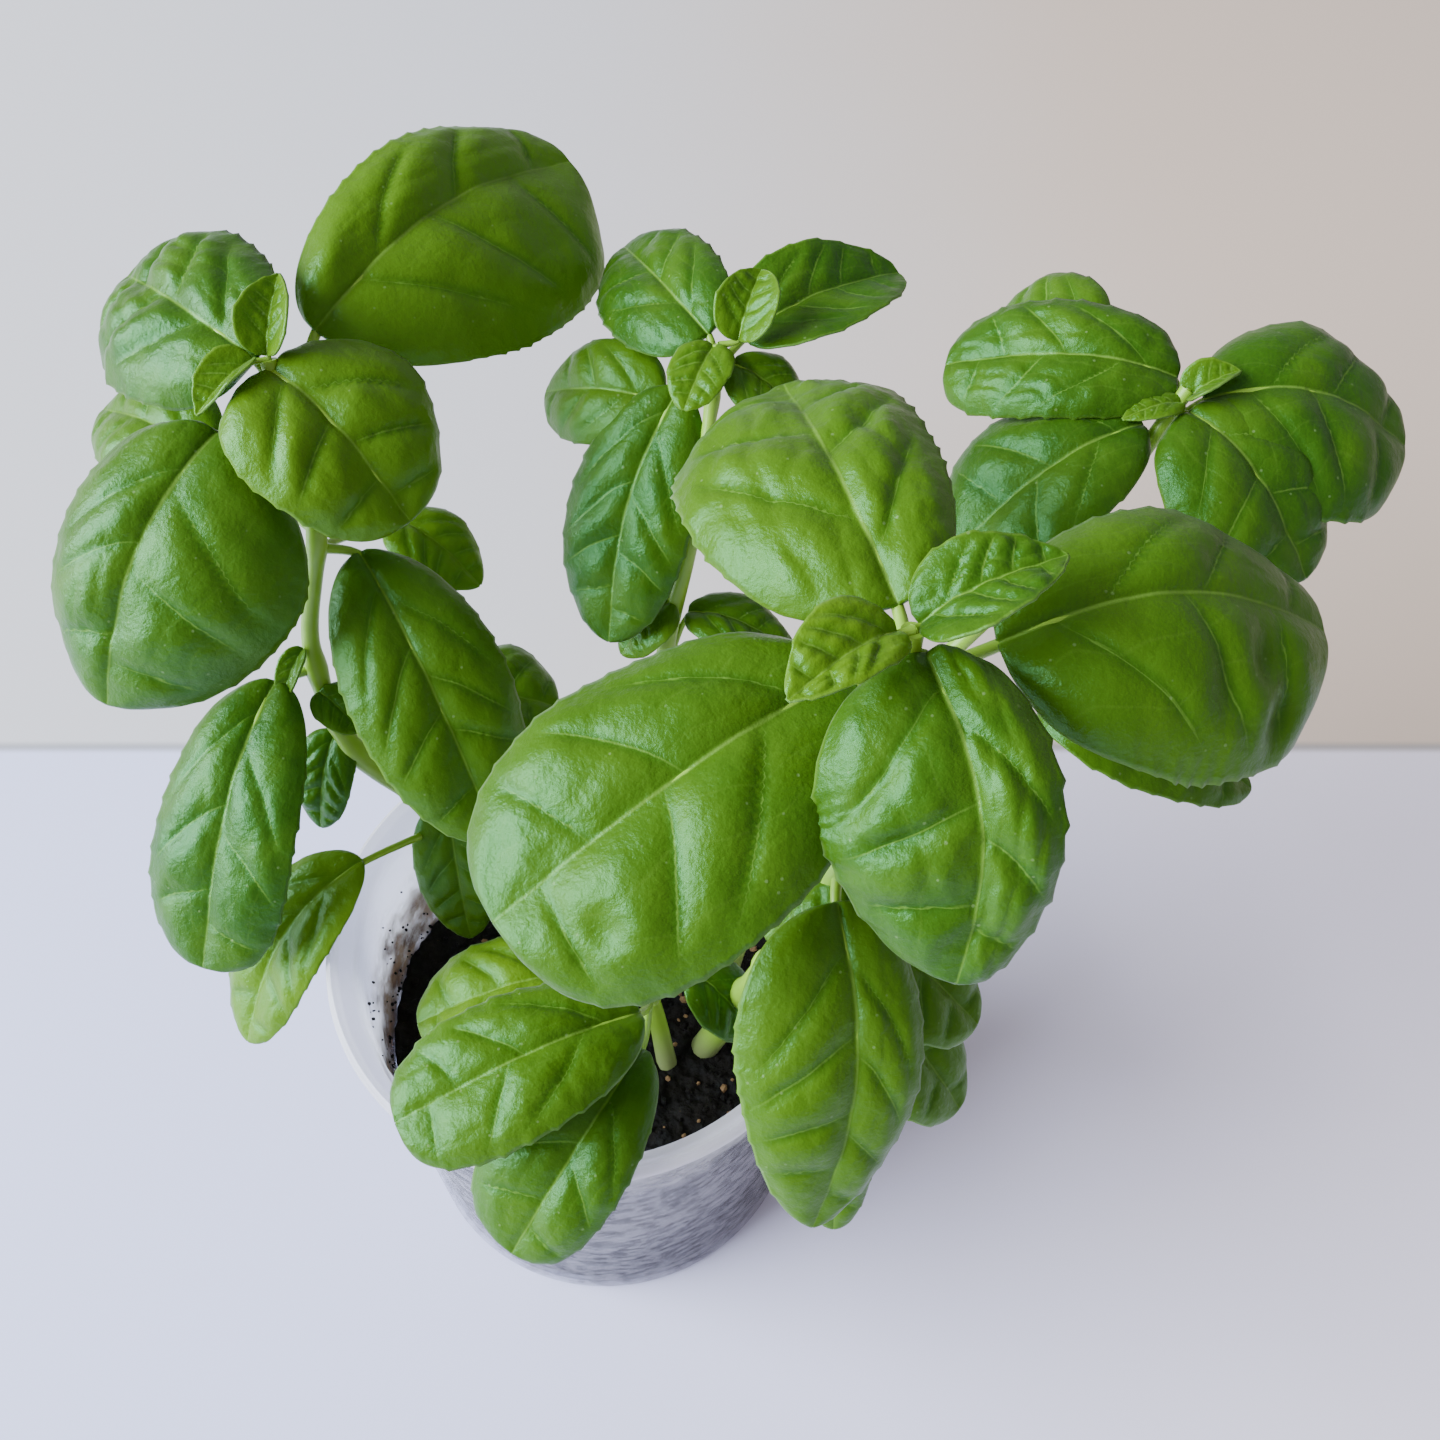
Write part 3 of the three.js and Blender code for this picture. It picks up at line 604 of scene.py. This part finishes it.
stalk_skin, surface = new_material("stalk_skin")
place = surface.node("ShaderNodeTexCoord", output=3)
streaks = surface.node("ShaderNodeTexNoise", inputs={"Vector": place, "Scale": 220.0, "Detail": 4.0})
height = surface.node("ShaderNodeSeparateXYZ", inputs={0: place}, output=2)
tint = streaks.colours(STALK_GREEN, STALK_LIGHT)
tint = height.between(soil_line + 0.015, soil_line).colours(tint, STALK_FOOT)
bump = surface.node("ShaderNodeBump", inputs={"Strength": 0.3, "Distance": 0.0002, "Height": streaks})
flesh = surface.node("ShaderNodeBsdfPrincipled", inputs={
    "Base Color": tint, "Roughness": 0.38, "Normal": bump, "Subsurface Weight": 0.15,
    "Subsurface Radius": (0.001, 0.001, 0.0005), "Subsurface Scale": 1.0})
show(surface, flesh)

bpy.ops.curve.primitive_bezier_circle_add(radius=MM, location=(0, 0, 0))
stem_section = bpy.context.object
for knot in stem_section.data.splines[0].bezier_points:
    for handle in ("handle_left", "handle_right"):
        setattr(knot, handle, knot.co + SQUARENESS * (getattr(knot, handle) - knot.co))
stem_section.data.resolution_u = 5

for name, (path, (thick, thin), leaves) in STEMS.items():
    curve_at = smooth_path(path)
    stem = bar_object("stem_bar")
    stem.data.bevel_mode = "OBJECT"
    stem.data.bevel_object = stem_section
    parts = np.linspace(0, 1, 90)
    joints = sorted({leaf.up for leaf in leaves})
    swelling = sum(JOINT_SWELL * np.exp(-((parts - joint) / JOINT_LENGTH) ** 2) for joint in joints)
    radii = (thick + (thin - thick) * parts) * (1 + np.minimum(swelling, MOST_SWELL))
    add_spline(stem.data, [curve_at(part) for part in parts], radii)
    ribs = bar_object("rib_bars")
    for leaf in leaves:
        blade = Blade(leaf)
        petiole = LEAST_PETIOLE + PETIOLE_GROWTH * leaf.width
        under = np.linspace(0.0, RIB_END, 9)
        normal = blade.directions(under)[1]
        rib_radius = petiole * (0.85 - 0.75 * under)
        rib = blade.midrib(under) - normal * (BLADE_THICKNESS / 2 + 0.75 * rib_radius)[:, None]
        path_at = smooth_path([curve_at(leaf.up), *rib], 6)
        parts = np.linspace(0, 1, 40)
        reach = np.linalg.norm(rib[0] - curve_at(leaf.up))
        neck = reach / (reach + blade.length * RIB_END)
        radii = np.interp(parts, [0, 0.3 * neck, neck, 1],
                          [1.25 * petiole, petiole, 0.85 * petiole, 0.1])
        add_spline(ribs.data, [path_at(part) for part in parts], radii)
    stalk = joined([stem, ribs], f"stalks_{name}")
    stalk.data.materials.clear()
    stalk.data.materials.append(stalk_skin)
    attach(stalk, "root")
    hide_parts(CAD_NODE[name])
bpy.data.objects.remove(stem_section)


# ---- Blades ----
# Thin glossy leaf blades. The midrib and the side veins are sunk in the upper face, and between them the
# blade swells up in soft cushions, which are finer and deeper on young leaves. The margin is finely
# toothed and turns down.

SIDE_VEINS = {"round": 3, "broad": 3, "disc": 3, "blunt": 3, "egg": 4, "oval": 4, "spear": 4}
VEIN_SLANT = (0.30, 0.22)  # how far a side vein runs forward on its way out, and how much more it bends
VEIN_UNEVEN = 0.03
CUSHION_HEIGHTS = (0.6, 1.3)
CROSS_SPACING = 0.13  # between the small cross veins, as a share of the blade's width
LARGEST_CELL = 0.75
TOOTH_SPACING = 5.0
FULL_TEETH = 26  # the width of a blade from which its teeth are full grown
# How high the halves stand beside the midrib and how far the edge rolls down, as shares of a half's width.
GUTTER = 0.3
EDGE_ROLL = 0.035
# How high the blade's large and small unevenness stands, as shares of its whole width.
WAVE = 0.02
LUMPS = 0.014
CRUMPLE = 0.012
FRILL = 0.03
# Dents in single blades: how far along, how far across (right is positive), how deep and how wide.
DENTS = {("front", 1): [(0.80, -0.50, 1.7, 2.8), (0.90, 0.45, 0.8, 3.0)],
         ("front", 3): [(0.72, 0.36, 2.5, 3.0), (0.80, 0.72, 2.2, 3.0), (0.55, 0.60, 1.0, 3.5)],
         ("left", 1): [(0.68, 0.15, 1.1, 2.6), (0.90, -0.10, 0.9, 2.4)],
         ("left", 5): [(0.16, -0.55, -1.6, 4.0), (0.70, 0.55, 0.7, 5.0)]}
YELLOW_GREEN = (0.14, 0.26, 0.006)
DEEP_GREEN = (0.030, 0.088, 0.003)
BLOTCH_GREEN = (0.085, 0.17, 0.006)
NET_GREEN = (0.14, 0.28, 0.02)
GROOVE_SHADE_GREEN = (0.018, 0.075, 0.002)
VEIN_GREEN = (0.21, 0.37, 0.05)
SPECK_GREEN = (0.32, 0.45, 0.18)
EDGE_ON_SHEEN_GREEN = (0.20, 0.27, 0.16)
UNDER_GREEN = (0.17, 0.29, 0.08)


def step(low, high, value):
    """0 up to low, 1 from high on, and a smooth step between."""
    share = np.clip((value - low) / (high - low), 0, 1)
    return share * share * (3 - 2 * share)


def side_veins(leaf, blade, t, q, w, sway, draw):
    """Each point's place on the ladder of side veins, their spacing, and how full its cushion is."""
    slant = VEIN_SLANT[0] * w + VEIN_SLANT[1] * w * w
    start = (t - slant) / (1 - slant) + 0.015 * sway
    lean = (VEIN_SLANT[0] + 2 * VEIN_SLANT[1] * w) * (1 - start) * blade.length / (leaf.width / 2)
    count = SIDE_VEINS[leaf.outline]
    rung = np.zeros_like(t)
    pitch = np.ones_like(t)
    swell = np.ones_like(t)
    for side in (-1, 1):
        starts = 0.05 + 0.9 * (np.arange(count) + 0.46 - 0.16 * side) / count
        starts += np.array([draw.uniform(-VEIN_UNEVEN, VEIN_UNEVEN) for _ in starts])
        places = np.array([-0.8, *starts, 1.3])
        marks = np.array([-0.49, *range(count), count - 0.51])
        mine = q * side >= 0
        here = np.interp(start, places, marks)
        widths = np.diff(places) / np.diff(marks)
        width = widths[np.clip(np.searchsorted(places, start) - 1, 0, count)]
        swells = np.array([draw.uniform(*CUSHION_HEIGHTS) for _ in range(count + 2)])
        rung = np.where(mine, here, rung)
        pitch = np.where(mine, width * (1 - slant) * blade.length / np.sqrt(1 + lean**2), pitch)
        swell = np.where(mine, swells[np.floor(here).astype(int) + 1], swell)
    return rung, pitch, swell


def vein_relief(leaf, blade, t, q, sway, draw):
    """How high the blade's skin stands at t and q, and the measures that place its veins there."""
    size = leaf.width
    half = blade.half(t)
    y = q * half
    w = np.minimum(abs(y) / (size / 2), 1.2)
    rung, pitch, swell = side_veins(leaf, blade, t, q, w, sway, draw)
    vein_gap = abs(rung - np.round(rung)) * pitch
    hollow = np.sin(np.pi * (rung % 1))
    cross = abs(y) / (CROSS_SPACING * size) + 0.37 * np.floor(rung) + 0.4 * (rung % 1)
    cross = cross + 0.1 * t + 0.6 * sway
    cross_gap = abs(cross - np.round(cross)) * CROSS_SPACING * size
    fade = (0.35 + 0.65 * step(0, 0.25, w)) * (1 - step(0.62, 0.95, abs(q))) * (1 - step(0.86, 1, t))
    depth = (0.2 + 0.021 * size) * leaf.sunk
    vein_groove = np.exp(-vein_gap / (0.15 + 0.028 * size))
    cross_groove = np.exp(-cross_gap / (0.15 + 0.02 * size))
    height = depth * fade * (0.3 - 0.8 * vein_groove + 0.6 * swell * hollow)
    height -= 0.5 * depth * leaf.quilt * fade * hollow**0.5 * (1 + sway) * cross_groove
    height -= 0.35 * np.exp(-(y / (0.4 + 0.012 * size)) ** 2) * (1 - t)
    measures = {"rib_gap": y, "side_rung": rung, "side_pitch": pitch, "cross_rung": cross,
                "vein_fade": fade, "margin_gap": (1 - abs(q)) * half,
                "tone": np.full_like(t, leaf.tone), "length_part": t, "girth": np.full_like(t, size)}
    return height, measures


def blade_object(leaf, seed, dents):
    """A leaf's blade, bent, veined, toothed and given its thickness."""
    draw = random.Random(seed)
    blade = Blade(leaf)
    cell = min(LARGEST_CELL, 0.3 + 0.012 * leaf.width)
    rows = max(10, round(blade.length / cell))
    columns = 2 * max(5, round(leaf.width / cell / 2))
    bpy.ops.mesh.primitive_grid_add(x_subdivisions=columns, y_subdivisions=rows, size=2,
                                    location=(0, 0, 0))
    sheet = bpy.context.object
    mesh = sheet.data
    flat = np.empty(3 * len(mesh.vertices))
    mesh.vertices.foreach_get("co", flat)
    q, even = flat.reshape(-1, 3)[:, 0], flat.reshape(-1, 3)[:, 1] / 2 + 0.5
    t = np.clip(0.4 * even + 0.3 * (1 - np.cos(np.pi * even)), 0, 1)
    half = blade.half(t)
    y = q * half

    def noise_of(size, layer, octaves=2):
        """Noise over the flat blade, with lumps of the given share of its width."""
        size *= leaf.width
        return np.array([ripple(a, b, 7.7 * seed + layer, size, octaves)
                         for a, b in zip(t * blade.length, y)])

    height, measures = vein_relief(leaf, blade, t, q, noise_of(0.35, 3), draw)
    run = t * blade.length / TOOTH_SPACING * (0.85 + 0.01 * leaf.width) + np.where(q > 0, 0.35, 0.8)
    tooth = ((run % 1) ** 3 - 0.25) * min(1.0, leaf.width / FULL_TEETH)
    tooth = tooth * step(0.1, 0.35, t) * (1 - step(0.93, 1, t))
    margin = step(0.75, 1, abs(q))
    uneven = np.where(q > 0, 1 + leaf.lop, 1 - leaf.lop)
    reach = half * uneven + (0.35 + 0.35 * leaf.quilt) * tooth * margin
    wave = WAVE * leaf.width * q * q * np.sin(3 * np.pi * t + np.where(q > 0, 1, 3))
    height += reach * (GUTTER * abs(q) - leaf.camber * q * q) + wave * half / (leaf.width / 2)
    height -= EDGE_ROLL * half * margin**2
    height += LUMPS * leaf.width * noise_of(0.3, 0)
    for along, aside, deep, wide in dents:
        gap = np.hypot((t - along) * blade.length, y - aside * half)
        height -= deep * np.exp(-(gap / wide) ** 2)
    crumple = CRUMPLE * noise_of(0.1, 5) + FRILL * margin**2 * noise_of(0.2, 9, 1)
    height += leaf.quilt * leaf.width * crumple
    across, normal = blade.directions(t)
    points = blade.midrib(t) + across * (reach * q)[:, None] + normal * height[:, None]
    mesh.vertices.foreach_set("co", (points * MM).ravel())
    for key, values in measures.items():
        mark(mesh, key, values)
    upper = len(mesh.vertices)
    wall = sheet.modifiers.new("thickness", "SOLIDIFY")
    wall.thickness = BLADE_THICKNESS * MM
    wall.offset = 0
    bpy.ops.object.modifier_apply(modifier="thickness")
    mark(sheet.data, "under", np.arange(len(sheet.data.vertices)) >= upper)
    bpy.ops.object.shade_smooth()
    return sheet


leaf_skin, surface = new_material("leaf_skin")
place = surface.node("ShaderNodeTexCoord", output=3)


def measure(name):
    """The number that a leaf's vertices carry by that name."""
    return surface.node("ShaderNodeAttribute", {"attribute_name": name}, output=2)


def line(gap, width):
    """1 on a vein and 0 beyond its width, in millimetres."""
    return surface.math("ABSOLUTE", gap).between(width, 0.0)


def rungs(name, pitch):
    """The distance to the nearest whole rung of a ladder of veins."""
    rung = measure(name)
    return (rung - surface.math("ROUND", rung)) * pitch


tone = measure("tone")
under = measure("under")
girth = measure("girth")
fade = measure("vein_fade")
taper = 1 - 0.75 * measure("length_part")
blotch = surface.node("ShaderNodeTexNoise", inputs={"Vector": place, "Scale": 90.0, "Detail": 4.0})
pores = surface.node("ShaderNodeTexNoise", inputs={"Vector": place, "Scale": 1500.0, "Detail": 3.0})
crinkles = surface.node("ShaderNodeTexNoise", inputs={"Vector": place, "Scale": 520.0, "Detail": 5.0,
                                                    "Roughness": 0.6})
net = surface.node("ShaderNodeTexVoronoi", {"feature": "DISTANCE_TO_EDGE"},
                   inputs={"Vector": place, "Scale": 620.0})
specks = surface.node("ShaderNodeTexVoronoi", inputs={"Vector": place, "Scale": 330.0})
facing = surface.node("ShaderNodeLayerWeight", inputs={"Blend": 0.3}, output=1)
side_gap = rungs("side_rung", measure("side_pitch"))
midrib = line(measure("rib_gap"), 0.2 + girth * taper * 0.011)
side = line(side_gap, 0.26) * fade
# A band of painted shade along each side vein, where the blade sinks into its groove.
groove_shade = line(side_gap, 1.5) * fade
cross = line(rungs("cross_rung", CROSS_SPACING * girth), 0.25) * fade
veins = surface.math("MAXIMUM", midrib * (0.3 + 0.5 * taper),
                     surface.math("MAXIMUM", side * 0.5, cross * 0.08))
rim = line(measure("margin_gap"), 0.45)
# The leaf's colour from yellow-green to deep green, which also carries painted light and shade set leaf by
# leaf.
green = tone.between(-1.0, 1.0).colours(YELLOW_GREEN, DEEP_GREEN)
green = (blotch.between(0.35, 0.7) * 0.5).colours(green, BLOTCH_GREEN)
green = (net.between(0.08, 0.0) * 0.07).colours(green, NET_GREEN)
green = (groove_shade * 0.45).colours(green, GROOVE_SHADE_GREEN)
green = surface.math("MAXIMUM", veins, rim * 0.35).colours(green, VEIN_GREEN)
green = (specks.between(0.10, 0.05) * 0.3).colours(green, SPECK_GREEN)
# A painted sheen: the blade turns a silvery grey-green where it is seen edge-on.
green = (facing.between(0.45, 1.0) * 0.45).colours(green, EDGE_ON_SHEEN_GREEN)
green = (under * 0.75).colours(green, UNDER_GREEN)
bump = surface.node("ShaderNodeBump", inputs={"Strength": 0.55, "Distance": 0.0005,
                                              "Height": crinkles + 0.25 * pores})
rough = 0.19 + 0.13 * blotch + 0.07 * girth.between(8, 22) + 0.3 * under
face = surface.node("ShaderNodeBsdfPrincipled", inputs={
    "Base Color": green, "Roughness": surface.math("MINIMUM", rough, 1.0), "Normal": bump,
    "Specular IOR Level": 0.52, "Specular Tint": (0.28, 0.92, 0.46, 1),
    "Sheen Weight": 0.04, "Sheen Roughness": 0.4, "Sheen Tint": (0.7, 0.9, 0.7, 1)})
through = surface.node("ShaderNodeBsdfTranslucent", inputs={"Color": (0.21, 0.44, 0.01, 1)})
show(surface, surface.node("ShaderNodeMixShader", inputs={0: 0.25, 1: face, 2: through}))

for order, (name, (*_, leaves)) in enumerate(STEMS.items()):
    sheets = [blade_object(leaf, 100 * order + index, DENTS.get((name, index), []))
              for index, leaf in enumerate(leaves)]
    blades = joined(sheets, f"blades_{name}")
    blades.data.materials.clear()
    blades.data.materials.append(leaf_skin)
    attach(blades, "root")
    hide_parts(CAD_NODE[name])
